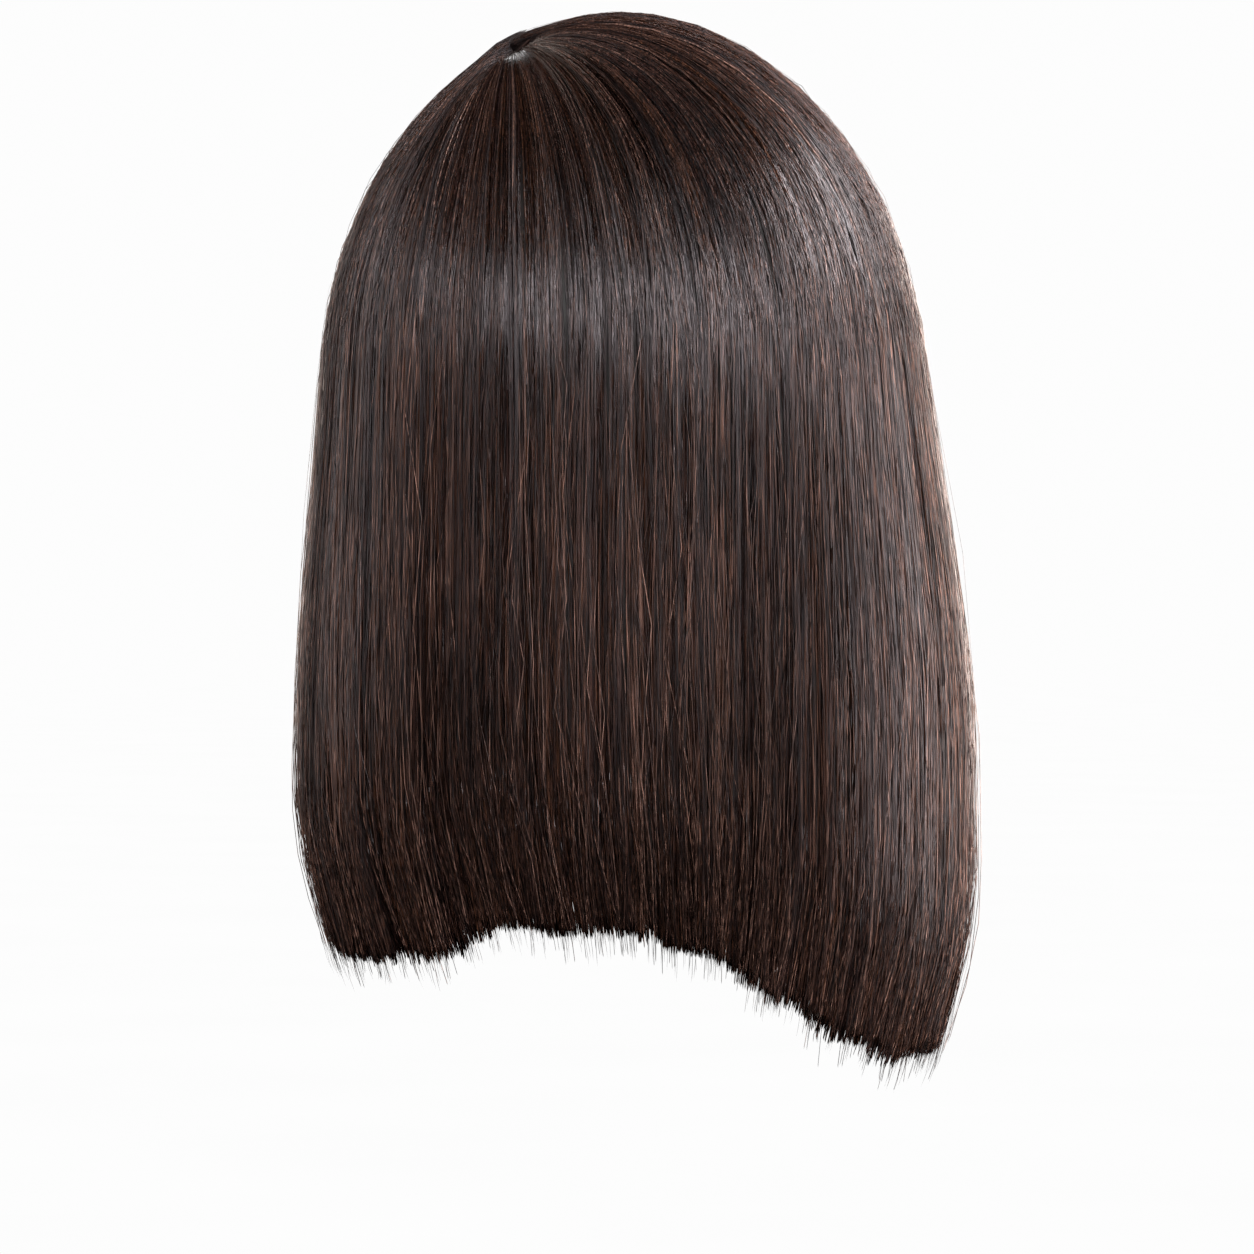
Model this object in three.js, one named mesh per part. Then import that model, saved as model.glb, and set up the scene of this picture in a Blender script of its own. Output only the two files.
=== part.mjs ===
// A straight bob wig with a side part and an angled hem. A thin cap of two panels carries a strip of parting
// lace and five sections of hair, which fall from the part as locks fused side by side.
// Millimetres, +Z up, and the face looks along -Y, so that +X is the wearer's left. The origin is the
// point inside the cap where the crown of the head touches it.
// An azimuth is in degrees from the back of the head, and grows towards the wearer's right.
import * as THREE from "three";

const { clamp, degToRad, lerp, radToDeg, smoothstep } = THREE.MathUtils;

// Cap: the head it fits, about 550 mm round, and its own wall
const HEAD_HALF_WIDTH = 76;
const HEAD_HALF_DEPTH = 95;
const HEAD_DOME_HEIGHT = 88; // from the crown down to the head's widest level
const HEAD_SQUARENESS = 2.4; // exponent of the head's profile: 2 is an ellipse, and more is flatter on top
const NAPE_NARROWING = 0.28; // share of the depth that is lost one dome height below the widest level
const CAP_WALL = 1.2;

// Hair: how far its surface stands off the cap
const CROWN_LOFT = 11.8;
const SIDE_LOFT = 20.8;
const BACK_LOFT = 18.8;
const FRONT_LOFT = 17;
const DOME_OVERHANG = 14; // the dome of hair ends this far below the head's own
const DOME_SQUARENESS = 1.9;
const DOME_SHIFT = 3.5; // the hair sits this far to the wearer's left
const LEFT_FLARE = 8; // how far each side swings out on its way down
const RIGHT_FLARE = 17;
const FLARE_START = 32; // the swing starts this far above the end of the dome
const FLARE_HEIGHT = 156; // and is spread over this drop
const EDGE_THINNING = 0.45; // share of the hair's thickness that is lost at its front edges
const HEM_CURL = 12; // how far the tips turn in
const CURL_HEIGHT = 60; // the height over which they turn in
const HEM_THICKNESS = 10;
const HEM_BEVEL = 4; // the inner tips end this far above the outer ones

// Locks: ridges of the hair's surface and their tips
const LOCK_DEPTH = 2.2;
const LOCK_TIP = 3.5; // a lock's middle reaches this far below its edges
const TIP_SCATTER = 2.5; // neighbouring locks differ in length by up to twice this
const WIDTH_SCATTER = 0.35; // and in width by this share on either side

// Part: a groove that shows the lace
const PART_WIDTH = 5.6;
const GROOVE_DEPTH = 1; // how far the hair dips beside the part
const GROOVE_RISE = 22; // the distance over which it rises again
const LACE_WIDTH = 3;
const LACE_THICKNESS = 1;
const LACE_REACH = 0.96; // share of the part that the lace covers

// Clearances between pieces
const CAP_CLEARANCE = 0.8;
const PANEL_GAP = 0.5;
const LACE_CLEARANCE = 0.3;
const SECTION_GAP = 0.5;

// The crown down to the lowest tips
const HAIR_LENGTH = 334;

// Ends of the part, as shares of the head's half width and half depth
const PART_ENDS = {
  whorl: { left: 0.52, back: 0.3 },
  hairline: { left: 0.36, back: -0.84 },
};
const WHORL_FAN = 62; // the hair up to this azimuth on either side fans out from the whorl
const FACE_EDGE = 132; // azimuth of the hair's front edges
const EDGE_START = 112; // and of where the hair starts to thin towards them

// Sections of hair, from the wearer's left round the back to the right
const SECTIONS = [
  { name: "left_face_hair", from: -FACE_EDGE, to: -88, locks: 6 },
  { name: "left_side_hair", from: -88, to: -29, locks: 8 },
  { name: "back_hair", from: -29, to: 24, locks: 8 },
  { name: "right_side_hair", from: 24, to: 88, locks: 9 },
  { name: "right_face_hair", from: 88, to: FACE_EDGE, locks: 6 },
];

// The hem, as shares of HAIR_LENGTH
const HEM = [
  { azimuth: -132, drop: 0.874 },
  { azimuth: -90, drop: 0.868 },
  { azimuth: -66, drop: 0.873 },
  { azimuth: -42, drop: 0.866 },
  { azimuth: -32, drop: 0.85 },
  { azimuth: -26, drop: 0.836 },
  { azimuth: 0, drop: 0.84 },
  { azimuth: 17, drop: 0.859 },
  { azimuth: 35, drop: 0.907 },
  { azimuth: 50, drop: 0.945 },
  { azimuth: 63, drop: 0.966 },
  { azimuth: 90, drop: 0.967 },
  { azimuth: 132, drop: 0.985 },
];

// The cap's rim, as shares of HEAD_DOME_HEIGHT below the crown
const RIM = [
  { place: "forehead", azimuth: -180, drop: 0.29 },
  { place: "beside the part", azimuth: -171, drop: 0.32 },
  { place: "part", azimuth: -161, drop: 0.42 },
  { place: "left temple", azimuth: -132, drop: 0.97 },
  { place: "left ear tab", azimuth: -108, drop: 1.42 },
  { place: "left ear", azimuth: -84, drop: 1.28 },
  { place: "left nape", azimuth: -45, drop: 1.72 },
  { place: "nape", azimuth: 0, drop: 1.8 },
  { place: "right nape", azimuth: 45, drop: 1.72 },
  { place: "right ear", azimuth: 84, drop: 1.28 },
  { place: "right ear tab", azimuth: 108, drop: 1.42 },
  { place: "right temple", azimuth: 131, drop: 0.97 },
  { place: "hairline", azimuth: 147, drop: 0.37 },
  { place: "forehead", azimuth: 180, drop: 0.29 },
];

// The cap's nape band ends at this azimuth on either side, where the crown panel alone goes on
const BAND_END = 125;

// Rows of a section's mesh, from the part at 0 through the dome's foot at 1 to the hem at 2
const OUTER_ROWS = [
  0, 0.05, 0.11, 0.18, 0.26, 0.35, 0.44, 0.54, 0.64, 0.75, 0.87, 1, 1.14, 1.3, 1.47, 1.63, 1.76, 1.87, 1.95, 2,
];
const INNER_ROWS = [0, 0.06, 0.12, 0.19, 0.26, 0.34, 0.42, 0.51, 0.6, 0.7, 0.8, 0.9, 1, 1.2, 1.45, 1.7, 2];
// Places across a lock, as shares of its width, with the height of its ridge there
const LOCK_PROFILE = [
  { across: 0, ridge: 0 },
  { across: 0.18, ridge: 0.7 },
  { across: 0.5, ridge: 1 },
  { across: 0.82, ridge: 0.7 },
];
const CAP_SIDES = 48;
const CAP_ROWS = 9;
const BAND_STEPS = 36;
const BAND_ROWS = 4;
const LACE_STEPS = 14;

const CAP_COLOUR = 0x2a211d;
const LACE_COLOUR = 0x6b4a36;
const HAIR_COLOUR = 0x2e211c;

// A value read from a table by azimuth, eased between its rows.
function fromTable(table, azimuth) {
  const next = table.findIndex((row) => row.azimuth > azimuth);
  if (next < 1) return table.at(next).drop;
  const [before, after] = [table[next - 1], table[next]];
  const ease = smoothstep(azimuth, before.azimuth, after.azimuth);
  return lerp(before.drop, after.drop, ease);
}

function evenShares(steps) {
  return Array.from({ length: steps + 1 }, (_, step) => step / steps);
}

// A repeatable number from 0 to 1 for any number.
function scatter(index) {
  return Math.abs(Math.sin(index * 12.9898) * 43758.5453) % 1;
}

// The shape of the head grown by an offset, as a dome that the surfaces below are taken from.
function headDome(offset) {
  return {
    width: HEAD_HALF_WIDTH + offset,
    back: HEAD_HALF_DEPTH + offset,
    front: HEAD_HALF_DEPTH + offset,
    top: offset,
    foot: -HEAD_DOME_HEIGHT,
    shift: 0,
    squareness: HEAD_SQUARENESS,
  };
}

const CAP_DOME = headDome(CAP_WALL);
const UNDER_DOME = headDome(CAP_WALL + CAP_CLEARANCE);
const HAIR_DOME = {
  width: CAP_DOME.width + SIDE_LOFT,
  back: CAP_DOME.back + BACK_LOFT,
  front: CAP_DOME.front + FRONT_LOFT,
  top: CAP_DOME.top + CROWN_LOFT,
  foot: CAP_DOME.foot - DOME_OVERHANG,
  shift: DOME_SHIFT,
  squareness: DOME_SQUARENESS,
};

function outward(azimuth) {
  const angle = degToRad(azimuth);
  return new THREE.Vector2(-Math.sin(angle), Math.cos(angle));
}

// The plan point at a dome's foot.
function footOf(dome, azimuth) {
  const way = outward(azimuth);
  const depth = way.y > 0 ? dome.back : dome.front;
  return new THREE.Vector2(dome.shift + way.x * dome.width, way.y * depth);
}

// The dome's surface over a plan point.
function overPlan(dome, plan) {
  const across = (plan.x - dome.shift) / dome.width;
  const along = plan.y / (plan.y > 0 ? dome.back : dome.front);
  const out = Math.min(1, Math.hypot(across, along));
  const rise = (1 - out ** dome.squareness) ** (1 / dome.squareness);
  return new THREE.Vector3(plan.x, plan.y, lerp(dome.foot, dome.top, rise));
}

// The dome's outward normal at a point of it, which is level from the foot down.
function normalOf(dome, point) {
  const depth = point.y > 0 ? dome.back : dome.front;
  const height = dome.top - dome.foot;
  const across = (point.x - dome.shift) / dome.width;
  const along = point.y / depth;
  const outward = Math.hypot(across, along) ** (dome.squareness - 2);
  const rise = (Math.max(0, point.z - dome.foot) / height) ** (dome.squareness - 1) / height;
  return new THREE.Vector3((outward * across) / dome.width, (outward * along) / depth, rise).normalize();
}

function partPoint(share) {
  const { whorl, hairline } = PART_ENDS;
  const left = lerp(whorl.left, hairline.left, share);
  const back = lerp(whorl.back, hairline.back, share);
  return new THREE.Vector2(left * HEAD_HALF_WIDTH, back * HEAD_HALF_DEPTH);
}

// The point of the part that the hair at an azimuth falls from.
function rootOf(azimuth) {
  return partPoint(smoothstep(Math.abs(azimuth), WHORL_FAN, FACE_EDGE));
}

// How much of a plan step from a root it takes to reach the dome's foot.
function shareToFoot(dome, root, step) {
  const depth = root.y + step.y > 0 ? dome.back : dome.front;
  const from = new THREE.Vector2((root.x - dome.shift) / dome.width, root.y / depth);
  const by = new THREE.Vector2(step.x / dome.width, step.y / depth);
  const slope = from.dot(by);
  return (Math.sqrt(slope ** 2 + by.lengthSq() * (1 - from.lengthSq())) - slope) / by.lengthSq();
}

// A point of a dome on the way from the part at 0 to the dome's foot at 1. Seen from above, both domes
// have the same straight way for an azimuth.
function domePoint(dome, azimuth, way) {
  const root = rootOf(azimuth);
  const step = footOf(HAIR_DOME, azimuth).sub(root);
  const start = PART_WIDTH / 2 / step.length();
  const share = lerp(start, shareToFoot(dome, root, step), Math.sin((way * Math.PI) / 2));
  return overPlan(dome, root.addScaledVector(step, share));
}

function hemLevel(azimuth, tip) {
  return -HAIR_LENGTH * fromTable(HEM, azimuth) - tip;
}

// How far a side has swung out at a level.
function flareAt(azimuth, level) {
  const fall = smoothstep(HAIR_DOME.foot + FLARE_START - level, 0, FLARE_HEIGHT);
  return (azimuth < 0 ? LEFT_FLARE : RIGHT_FLARE) * outward(azimuth).x ** 2 * fall;
}

// The plan point of the hanging hair's outer surface at a level below the dome.
function curtainPlan(azimuth, level, hem) {
  const curl = HEM_CURL * clamp(1 - (level - hem) / CURL_HEIGHT, 0, 1) ** 2;
  return footOf(HAIR_DOME, azimuth).addScaledVector(outward(azimuth), flareAt(azimuth, level) - curl);
}

// The even surface of the hair, which its locks rise and fall about.
function hairSurface(azimuth, row, tip) {
  const way = outward(azimuth);
  if (row <= 1) {
    const point = domePoint(HAIR_DOME, azimuth, row);
    const fromPart = rootOf(azimuth).distanceTo(point) - PART_WIDTH / 2;
    const normal = normalOf(HAIR_DOME, point);
    const flare = flareAt(azimuth, point.z);
    point.addScaledVector(normal, -GROOVE_DEPTH * (1 - smoothstep(fromPart, 0, GROOVE_RISE)));
    return { point: point.add(new THREE.Vector3(way.x * flare, way.y * flare, 0)), normal };
  }
  const hem = hemLevel(azimuth, tip);
  const level = lerp(HAIR_DOME.foot, hem, row - 1);
  const plan = curtainPlan(azimuth, level, hem);
  return { point: new THREE.Vector3(plan.x, plan.y, level), normal: new THREE.Vector3(way.x, way.y, 0) };
}

function outerPoint(azimuth, row, height, tip) {
  const { point, normal } = hairSurface(azimuth, row, tip);
  const inside = innerPoint(azimuth, row);
  if (row > 1) inside.z = point.z;
  const thinning = EDGE_THINNING * smoothstep(Math.abs(azimuth), EDGE_START, FACE_EDGE);
  return point.lerp(inside, thinning * Math.min(1, row)).addScaledVector(normal, height * smoothstep(row, 0, 0.5));
}

function innerPoint(azimuth, row) {
  if (row <= 1) return domePoint(UNDER_DOME, azimuth, row);
  const hem = hemLevel(azimuth, 0);
  const level = lerp(UNDER_DOME.foot, hem + HEM_BEVEL, row - 1);
  const inside = curtainPlan(azimuth, level, hem).addScaledVector(outward(azimuth), -HEM_THICKNESS);
  const foot = domePoint(UNDER_DOME, azimuth, 1);
  return new THREE.Vector3(inside.x, inside.y, level).lerp(foot.setZ(level), 1 - smoothstep(row, 1, 2));
}

// How far a section draws back from its own edge in degrees, so that half the gap stays free there.
function gapTurn(azimuth, row) {
  const step = 0.5;
  const before = innerPoint(azimuth - step, row);
  const perDegree = before.distanceTo(innerPoint(azimuth + step, row)) / (2 * step);
  return SECTION_GAP / 2 / perDegree;
}

// Locks of a section: the share of its width at which each starts and ends, its height and its tip.
function locksOf(section, firstLock) {
  const widths = [];
  for (let lock = 0; lock < section.locks; lock += 1)
    widths.push(lerp(1 - WIDTH_SCATTER, 1 + WIDTH_SCATTER, scatter(firstLock + lock + 0.5)));
  const total = widths.reduce((sum, width) => sum + width, 0);
  let from = 0;
  return widths.map((width, lock) => {
    const share = { from, to: from + width / total };
    from = share.to;
    const size = lerp(0.6, 1.25, scatter(3 * (firstLock + lock)));
    const tip = LOCK_TIP + TIP_SCATTER * (2 * scatter(firstLock + lock) - 1);
    return { ...share, size, tip };
  });
}

// The columns of a section: places across it, each with the height of the ridge and of the tip there.
function columnsOf(section, firstLock) {
  const columns = locksOf(section, firstLock).flatMap(({ from, to, size, tip }) =>
    LOCK_PROFILE.map(({ across, ridge }) => ({
      share: lerp(from, to, across),
      height: LOCK_DEPTH * (ridge * size - 1),
      tip: tip * ridge,
    })),
  );
  return [...columns, { share: 1, height: -LOCK_DEPTH, tip: 0 }];
}

// The triangles between two lines of vertices that run side by side. The places tell how far along
// its line each vertex lies, and by default are its number.
function bandOf(first, second, firstPlaces = [...first.keys()], secondPlaces = [...second.keys()]) {
  const triangles = [];
  let i = 0;
  let j = 0;
  while (i < first.length - 1 || j < second.length - 1) {
    if (i === first.length - 1 || secondPlaces[j + 1] < firstPlaces[i + 1]) {
      triangles.push(first[i], second[j], second[j + 1]);
      j += 1;
    } else {
      triangles.push(first[i], second[j], first[i + 1]);
      i += 1;
    }
  }
  return triangles;
}

function meshOf(name, points, triangles, material) {
  const geometry = new THREE.BufferGeometry().setFromPoints(points).setIndex(triangles);
  geometry.computeVertexNormals();
  const mesh = new THREE.Mesh(geometry, material);
  mesh.name = name;
  return mesh;
}

// A sheet of points: one line for each share of the way across, with a point in it for each row.
function sheetOf(shares, rows, pointAt) {
  return { shares, rows, lines: shares.map((share, index) => rows.map((row) => pointAt(share, row, index))) };
}

// The solid between an outer and an inner sheet.
function layerBetween(name, outerSheet, innerSheet, material) {
  const points = [];
  const indexed = (sheet) => sheet.lines.map((line) => line.map((point) => points.push(point) - 1));
  const outer = indexed(outerSheet);
  const inner = indexed(innerSheet);
  const surfaceOf = (lines) => lines.slice(1).flatMap((line, index) => bandOf(line, lines[index]));
  const sideAt = (place) => bandOf(outer.at(place), inner.at(place), outerSheet.rows, innerSheet.rows);
  const borderOf = (lines, place) => lines.map((line) => line.at(place));
  const endAt = (place) =>
    bandOf(borderOf(outer, place), borderOf(inner, place), outerSheet.shares, innerSheet.shares);
  const turned = (triangles) => triangles.toReversed();
  const triangles = [
    surfaceOf(outer),
    turned(surfaceOf(inner)),
    sideAt(0),
    turned(sideAt(-1)),
    turned(endAt(0)),
    endAt(-1),
  ];
  return meshOf(name, points, triangles.flat(), material);
}

function hairSection(section, firstLock, material) {
  const azimuthAt = (share, row) =>
    lerp(section.from + gapTurn(section.from, row), section.to - gapTurn(section.to, row), share);
  const columns = columnsOf(section, firstLock);
  const shares = columns.map((column) => column.share);
  const outer = sheetOf(shares, OUTER_ROWS, (share, row, index) =>
    outerPoint(azimuthAt(share, row), row, columns[index].height, columns[index].tip),
  );
  const innerShares = evenShares(section.locks);
  const inner = sheetOf(innerShares, INNER_ROWS, (share, row) => innerPoint(azimuthAt(share, row), row));
  return layerBetween(section.name, outer, inner, material);
}

// The turn of the cap's profile at a drop below the crown, which is a share of the dome's height. The dome
// ends at a quarter turn.
function turnAt(drop) {
  if (drop < 1) return Math.acos((1 - drop) ** (HEAD_SQUARENESS / 2));
  return Math.PI / 2 + drop - 1;
}

function capPoint(dome, azimuth, turn) {
  const quarter = Math.PI / 2;
  const bend = 2 / dome.squareness;
  const below = Math.max(0, turn - quarter);
  const out = Math.sin(Math.min(turn, quarter)) ** bend;
  const rise = Math.cos(Math.min(turn, quarter)) ** bend;
  const narrowing = NAPE_NARROWING * Math.max(0, outward(azimuth).y) ** 2 * below ** 2;
  const plan = footOf(dome, azimuth).multiplyScalar(out * (1 - narrowing));
  return new THREE.Vector3(plan.x, plan.y, lerp(dome.foot, dome.top, rise) - below * HEAD_DOME_HEIGHT);
}

// The cap's crown panel, from the crown down to the seam at the end of the dome, or to the rim where that
// is higher.
function wigCap(material) {
  const points = [];
  const add = (point) => points.push(point) - 1;
  const seam = 1 - PANEL_GAP / 2 / HEAD_DOME_HEIGHT;
  const ringOf = (dome, row) => {
    const ring = [];
    for (let side = 0; side < CAP_SIDES; side += 1) {
      const azimuth = (side / CAP_SIDES) * 360 - 180;
      const turn = turnAt(Math.min(seam, fromTable(RIM, azimuth)));
      ring.push(add(capPoint(dome, azimuth, (turn * row) / CAP_ROWS)));
    }
    return [...ring, ring[0]];
  };
  const rows = [[add(new THREE.Vector3(0, 0, CAP_DOME.top))]];
  for (let row = 1; row <= CAP_ROWS; row += 1) rows.push(ringOf(CAP_DOME, row));
  const headSide = headDome(0);
  for (let row = CAP_ROWS; row >= 1; row -= 1) rows.push(ringOf(headSide, row));
  rows.push([add(new THREE.Vector3(0, 0, headSide.top))]);
  const triangles = rows.slice(1).flatMap((row, index) => bandOf(rows[index], row));
  return meshOf("wig_cap", points, triangles, material);
}

// The cap's lower panel, which runs from temple to temple round the nape.
function napeBand(material) {
  const seam = 1 + PANEL_GAP / 2 / HEAD_DOME_HEIGHT;
  const sheetOn = (dome) =>
    sheetOf(evenShares(BAND_STEPS), evenShares(BAND_ROWS), (share, row) => {
      const azimuth = lerp(-BAND_END, BAND_END, share);
      return capPoint(dome, azimuth, lerp(turnAt(seam), turnAt(fromTable(RIM, azimuth)), row));
    });
  return layerBetween("nape_band", sheetOn(CAP_DOME), sheetOn(headDome(0)), material);
}

// The strip of lace on the cap along the part. It starts at the whorl and stops just short of the cap's rim.
function partingLace(material) {
  const along = partPoint(1).sub(partPoint(0)).normalize();
  const across = new THREE.Vector2(along.y, -along.x);
  const sheetAt = (height) =>
    sheetOf(evenShares(LACE_STEPS), [-0.5, 0, 0.5], (share, side) =>
      overPlan(headDome(CAP_WALL + height), partPoint(share * LACE_REACH).addScaledVector(across, side * LACE_WIDTH)),
    );
  return layerBetween("parting_lace", sheetAt(LACE_CLEARANCE + LACE_THICKNESS), sheetAt(LACE_CLEARANCE), material);
}

const wig = new THREE.Group();
const net = new THREE.MeshStandardMaterial({ color: CAP_COLOUR, roughness: 0.9, metalness: 0 });
wig.add(wigCap(net), napeBand(net));
wig.add(partingLace(new THREE.MeshStandardMaterial({ color: LACE_COLOUR, roughness: 0.8, metalness: 0 })));
const hair = new THREE.MeshStandardMaterial({ color: HAIR_COLOUR, roughness: 0.4, metalness: 0 });
let firstLock = 0;
for (const section of SECTIONS) {
  wig.add(hairSection(section, firstLock, hair));
  firstLock += section.locks;
}

export default wig;
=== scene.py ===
import math

import bpy
import numpy as np
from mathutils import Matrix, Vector


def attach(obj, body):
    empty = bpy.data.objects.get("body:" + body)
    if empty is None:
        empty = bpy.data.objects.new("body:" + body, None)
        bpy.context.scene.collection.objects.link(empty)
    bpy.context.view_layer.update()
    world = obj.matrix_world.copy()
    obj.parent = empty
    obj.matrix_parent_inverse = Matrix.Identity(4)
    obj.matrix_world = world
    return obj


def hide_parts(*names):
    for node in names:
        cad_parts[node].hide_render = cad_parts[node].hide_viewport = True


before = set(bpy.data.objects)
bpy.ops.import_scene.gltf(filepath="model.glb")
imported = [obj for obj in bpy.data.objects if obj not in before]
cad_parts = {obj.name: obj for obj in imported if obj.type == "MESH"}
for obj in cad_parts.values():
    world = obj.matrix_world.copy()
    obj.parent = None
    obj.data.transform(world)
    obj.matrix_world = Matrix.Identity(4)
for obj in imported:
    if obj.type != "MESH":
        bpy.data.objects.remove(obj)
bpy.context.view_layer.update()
scene = bpy.context.scene
rng = np.random.default_rng(1309)

# Camera: level, straight behind the wig. These lengths are in metres, but for the sensor.
CAMERA_DISTANCE = 1.55
CAMERA_HEIGHT = -0.189
CAMERA_ASIDE = 0.00165
FRAME_WIDTH = 0.4138
SENSOR_WIDTH = 36
camera = bpy.data.objects.new("camera", bpy.data.cameras.new("camera"))
scene.collection.objects.link(camera)
camera.location = (CAMERA_ASIDE, CAMERA_DISTANCE, CAMERA_HEIGHT)
camera.rotation_euler = (math.pi / 2, 0, math.pi)
camera.data.sensor_width = SENSOR_WIDTH
camera.data.lens = SENSOR_WIDTH * CAMERA_DISTANCE / FRAME_WIDTH
scene.camera = camera

# The wig's form, with the sizes of the part's own source
HEAD = {"width": 76.0, "depth": 95.0, "height": 88.0, "squareness": 2.4}
CAP_WALL = 1.2
HAIR_CLEARANCE = 0.8
NAPE_NARROWING = 0.28
HAIR_THICKNESS = {"sides": 20.8, "back": 18.8, "front": 17.0, "top": 11.8, "below": 14.0}


def head_dome(offset):
    return {
        "width": HEAD["width"] + offset,
        "back": HEAD["depth"] + offset,
        "front": HEAD["depth"] + offset,
        "top": offset,
        "foot": -HEAD["height"],
        "shift": 0.0,
        "squareness": HEAD["squareness"],
    }


CAP_DOME = head_dome(CAP_WALL)
UNDER_DOME = head_dome(CAP_WALL + HAIR_CLEARANCE)
HAIR_DOME = {
    "width": CAP_DOME["width"] + HAIR_THICKNESS["sides"],
    "back": CAP_DOME["back"] + HAIR_THICKNESS["back"],
    "front": CAP_DOME["front"] + HAIR_THICKNESS["front"],
    "top": CAP_DOME["top"] + HAIR_THICKNESS["top"],
    "foot": CAP_DOME["foot"] - HAIR_THICKNESS["below"],
    "shift": 3.5,
    "squareness": 1.9,
}
LEFT_FLARE, RIGHT_FLARE, FLARE_START, FLARE_HEIGHT = 8.0, 17.0, 32.0, 156.0
HEM_CURL, CURL_HEIGHT, HEM_THICKNESS, HEM_BEVEL = 12.0, 60.0, 10.0, 4.0
EDGE_THINNING, EDGE_START, FACE_EDGE = 0.45, 112.0, 132.0
LOCK_DEPTH, LOCK_TIP, TIP_SCATTER, WIDTH_SCATTER = 2.2, 3.5, 2.5, 0.35
PART_WIDTH, GROOVE_DEPTH, GROOVE_RISE = 5.6, 1.0, 22.0
HAIR_LENGTH = 334.0
WHORL = np.array([0.52 * HEAD["width"], 0.3 * HEAD["depth"]])
HAIRLINE = np.array([0.36 * HEAD["width"], -0.84 * HEAD["depth"]])
WHORL_FAN = 62.0
SECTIONS = [
    {"name": "left_face_hair", "from": -FACE_EDGE, "to": -88.0, "locks": 6},
    {"name": "left_side_hair", "from": -88.0, "to": -29.0, "locks": 8},
    {"name": "back_hair", "from": -29.0, "to": 24.0, "locks": 8},
    {"name": "right_side_hair", "from": 24.0, "to": 88.0, "locks": 9},
    {"name": "right_face_hair", "from": 88.0, "to": FACE_EDGE, "locks": 6},
]
# The hem's height at each azimuth, as a share of the hair's length
HEM = [
    (-132, 0.874), (-90, 0.868), (-66, 0.873), (-42, 0.866), (-32, 0.85), (-26, 0.836), (0, 0.84),
    (17, 0.859), (35, 0.907), (50, 0.945), (63, 0.966), (90, 0.967), (132, 0.985),
]
# The cap's rim at each azimuth, as a share of the way from the crown to the foot of the dome
RIM = [
    (-180, 0.29), (-171, 0.32), (-161, 0.42), (-132, 0.97), (-108, 1.42), (-84, 1.28), (-45, 1.72), (0, 1.8),
    (45, 1.72), (84, 1.28), (108, 1.42), (131, 0.97), (147, 0.37), (180, 0.29),
]
# The height of a lock's ridge across its width
LOCK_PROFILE = [(0, 0), (0.18, 0.7), (0.5, 1), (0.82, 0.7), (1, 0)]


def smooth(x, low, high):
    """0 below low, 1 above high, and an even rise between them."""
    t = np.clip((x - low) / (high - low), 0, 1)
    return t * t * (3 - 2 * t)


def mix(a, b, share):
    return a + (b - a) * share


def from_table(table, azimuth):
    """The value of a table of azimuths and values, with an even rise from row to row."""
    places, values = np.array(table, float).T
    k = np.clip(np.searchsorted(places, azimuth, side="right"), 1, len(places) - 1)
    return mix(values[k - 1], values[k], smooth(azimuth, places[k - 1], places[k]))


def outward(azimuth):
    angle = np.radians(azimuth)
    return -np.sin(angle), np.cos(angle)


def foot_of(dome, azimuth):
    """The plan place where a dome ends at an azimuth."""
    x, y = outward(azimuth)
    return dome["shift"] + x * dome["width"], y * np.where(y > 0, dome["back"], dome["front"])


def over_plan(dome, x, y):
    """The point of a dome over a plan place."""
    across = (x - dome["shift"]) / dome["width"]
    along = y / np.where(y > 0, dome["back"], dome["front"])
    out = np.minimum(1, np.hypot(across, along))
    rise = (1 - out ** dome["squareness"]) ** (1 / dome["squareness"])
    return np.stack([x, y, mix(dome["foot"], dome["top"], rise)], -1)


def unit(v):
    return v / np.maximum(np.linalg.norm(v, axis=-1, keepdims=True), 1e-9)


def normal_of(dome, p):
    depth = np.where(p[..., 1] > 0, dome["back"], dome["front"])
    height = dome["top"] - dome["foot"]
    across = (p[..., 0] - dome["shift"]) / dome["width"]
    along = p[..., 1] / depth
    out = np.hypot(across, along) ** (dome["squareness"] - 2)
    rise = (np.maximum(0, p[..., 2] - dome["foot"]) / height) ** (dome["squareness"] - 1) / height
    return unit(np.stack([out * across / dome["width"], out * along / depth, rise], -1))


def root_of(azimuth):
    """Where in plan the hair starts: behind, all at the whorl, and ahead, further along the part."""
    share = smooth(np.abs(azimuth), WHORL_FAN, FACE_EDGE)
    return mix(WHORL[0], HAIRLINE[0], share), mix(WHORL[1], HAIRLINE[1], share)


def share_to_foot(dome, root_x, root_y, step_x, step_y):
    """How much of a step in plan leads from a root to the foot of the dome."""
    depth = np.where(root_y + step_y > 0, dome["back"], dome["front"])
    from_x, from_y = (root_x - dome["shift"]) / dome["width"], root_y / depth
    by_x, by_y = step_x / dome["width"], step_y / depth
    slope = from_x * by_x + from_y * by_y
    size = by_x**2 + by_y**2
    return (np.sqrt(slope**2 + size * (1 - from_x**2 - from_y**2)) - slope) / size


def dome_point(dome, azimuth, way, start=PART_WIDTH / 2):
    """A point of a dome on the way from the part, which it leaves at the distance start, to its foot."""
    root_x, root_y = root_of(azimuth)
    foot_x, foot_y = foot_of(HAIR_DOME, azimuth)
    step_x, step_y = foot_x - root_x, foot_y - root_y
    begin = start / np.hypot(step_x, step_y)
    end = share_to_foot(dome, root_x, root_y, step_x, step_y)
    share = mix(begin, end, np.sin(np.clip(way, 0, 1) * math.pi / 2))
    return over_plan(dome, root_x + step_x * share, root_y + step_y * share)


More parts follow.
